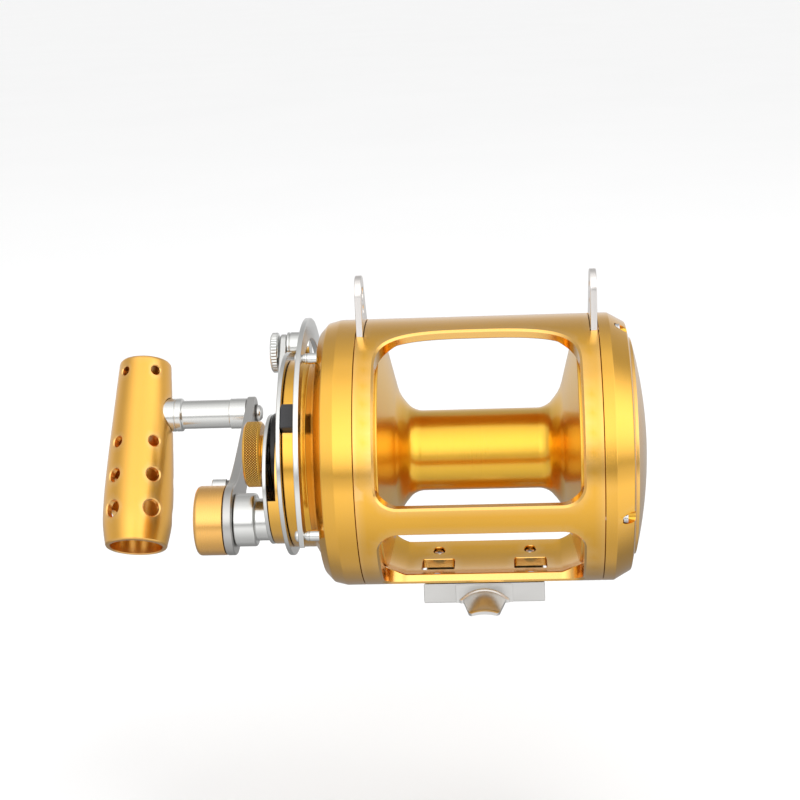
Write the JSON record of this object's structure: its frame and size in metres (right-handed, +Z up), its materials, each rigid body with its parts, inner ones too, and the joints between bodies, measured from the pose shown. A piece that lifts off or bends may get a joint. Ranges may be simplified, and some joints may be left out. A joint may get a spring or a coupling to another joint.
{
  "type": "trolling reel",
  "caption": "Two-speed lever-drag trolling reel: one-piece barrel frame, wide spool, drag quadrant and lever, side crank with hollow T-bar grip, harness lugs and rod foot.",
  "frame": {"origin": "middle of the foot's flat underside, where the reel seats on a rod", "axes": "+X along the spool axis away from the crank, -Y towards the rod tip, +Z up from the foot through the spool axis"},
  "size_m": [0.2839, 0.1804, 0.1617],
  "materials": {
    "anodised_gold": "satin gold anodised",
    "silver_aluminium": "satin clear anodised",
    "crank_grey": "satin grey",
    "steel": "turned stainless",
    "black_plastic": "matte",
    "carbon_friction": "woven carbon fibre"
  },
  "bodies": {
    "reel_body": {"frame": "anodised_gold", "harness_lug_crank_side": "silver_aluminium", "harness_lug_far_side": "silver_aluminium", "reel_foot": "silver_aluminium", "foot_screw_1": "steel", "foot_screw_2": "steel", "foot_screw_3": "steel", "foot_screw_4": "steel", "far_side_plate": "anodised_gold", "far_side_cap": "anodised_gold", "cover_screw_1": "steel", "cover_screw_2": "steel", "cover_screw_3": "steel", "cover_screw_4": "steel", "crank_side_plate": "anodised_gold", "drive_bearing": "steel", "pinion_bearing": "steel", "drag_quadrant": "silver_aluminium", "quadrant_post_1": "silver_aluminium", "quadrant_post_2": "silver_aluminium", "quadrant_post_3": "silver_aluminium", "cover_disc": "silver_aluminium", "bridge_housing": "anodised_gold", "bridge_plate": "silver_aluminium", "pawl_pin_1": "steel", "pawl_pin_2": "steel"},
    "lever_group": {"drag_lever": "silver_aluminium", "drag_cam": "steel", "lever_thumb_knob": "steel", "lever_barrel": "steel"},
    "shaft_group": {"spool_shaft": "steel", "bearing_spacer": "silver_aluminium"},
    "preset_group": {"preset_knob": "anodised_gold"},
    "spool_group": {"spool": "anodised_gold", "spool_bearing_crank_side": "steel", "spool_bearing_far_side": "steel", "drag_washer": "carbon_friction", "clicker_wheel": "steel"},
    "drive_plate_group": {"drag_plate": "steel", "ratchet_wheel": "steel", "pinion_high_speed": "steel", "pinion_low_speed": "steel"},
    "crank_group": {"drive_shaft": "steel", "high_speed_gear": "steel", "drive_sleeve": "silver_aluminium", "crank_arm": "crank_grey", "crank_cap": "anodised_gold", "crank_lock_screw": "steel", "handle_axle": "steel", "handle_axle_nut": "steel"},
    "low_gear_group": {"low_speed_gear": "steel"},
    "shift_button_group": {"shift_button": "silver_aluminium"},
    "handle_group": {"handle_knob": "anodised_gold", "handle_stem": "silver_aluminium"},
    "pawl_1_group": {"pawl_1": "steel"},
    "pawl_2_group": {"pawl_2": "steel"},
    "strike_button_group": {"strike_button": "black_plastic"},
    "clicker_group": {"clicker_button": "black_plastic", "clicker_tongue": "steel"}
  },
  "joints": [
    {"name": "crank_spin", "type": "hinge", "parent": "reel_body", "child": "crank_group", "pos_m": [-0.1, 0, 0.038], "axis": [1, 0, 0], "continuous": true},
    {"name": "drive_plate_spin", "type": "hinge", "parent": "reel_body", "child": "drive_plate_group", "pos_m": [-0.06, 0, 0.072], "axis": [1, 0, 0], "continuous": true},
    {"name": "low_gear_spin", "type": "hinge", "parent": "reel_body", "child": "low_gear_group", "pos_m": [-0.07, 0, 0.038], "axis": [1, 0, 0], "continuous": true},
    {"name": "drag_lever_swing", "type": "hinge", "parent": "reel_body", "child": "lever_group", "pos_m": [-0.1, 0, 0.072], "axis": [1, 0, 0], "range_deg": [0, 100]},
    {"name": "shaft_shift", "type": "slide", "parent": "reel_body", "child": "shaft_group", "axis": [-1, 0, 0], "range_m": [0, 0.0008]},
    {"name": "spool_spin", "type": "hinge", "parent": "shaft_group", "child": "spool_group", "pos_m": [0, 0, 0.072], "axis": [1, 0, 0], "continuous": true},
    {"name": "preset_turn", "type": "hinge", "parent": "shaft_group", "child": "preset_group", "pos_m": [-0.11, 0, 0.072], "axis": [1, 0, 0], "range_deg": [-360, 360]},
    {"name": "shift_button_press", "type": "slide", "parent": "crank_group", "child": "shift_button_group", "axis": [1, 0, 0], "range_m": [0, 0.003], "stiffness_N_per_m": 400, "springref_m": -0.002},
    {"name": "handle_knob_spin", "type": "hinge", "parent": "crank_group", "child": "handle_group", "pos_m": [-0.15, 0.08582, 0.06975], "axis": [1, 0, 0], "continuous": true},
    {"name": "pawl_1_lift", "type": "hinge", "parent": "reel_body", "child": "pawl_1_group", "pos_m": [-0.0567, -0.0407, 0.0955], "axis": [1, 0, 0], "range_deg": [-8, 0], "stiffness_Nm_per_rad": 0.05, "springref_deg": 5.73},
    {"name": "pawl_2_lift", "type": "hinge", "parent": "reel_body", "child": "pawl_2_group", "pos_m": [-0.0567, 0.0407, 0.0955], "axis": [1, 0, 0], "range_deg": [-8, 0], "stiffness_Nm_per_rad": 0.05, "springref_deg": 5.73},
    {"name": "strike_button_press", "type": "slide", "parent": "reel_body", "child": "strike_button_group", "axis": [0, 0.8039, -0.5948], "range_m": [0, 0.002], "stiffness_N_per_m": 400, "springref_m": -0.002},
    {"name": "clicker_slide", "type": "slide", "parent": "reel_body", "child": "clicker_group", "axis": [1, 0, 0], "range_m": [0, 0.0045]}
  ],
  "couplings": [
    {"joint": "drive_plate_spin", "follows": "crank_spin", "ratio": -3},
    {"joint": "spool_spin", "follows": "crank_spin", "ratio": -3},
    {"joint": "low_gear_spin", "follows": "crank_spin", "ratio": 2.3684},
    {"joint": "shaft_shift", "follows": "drag_lever_swing", "m_per_rad": 0.00045832}
  ]
}
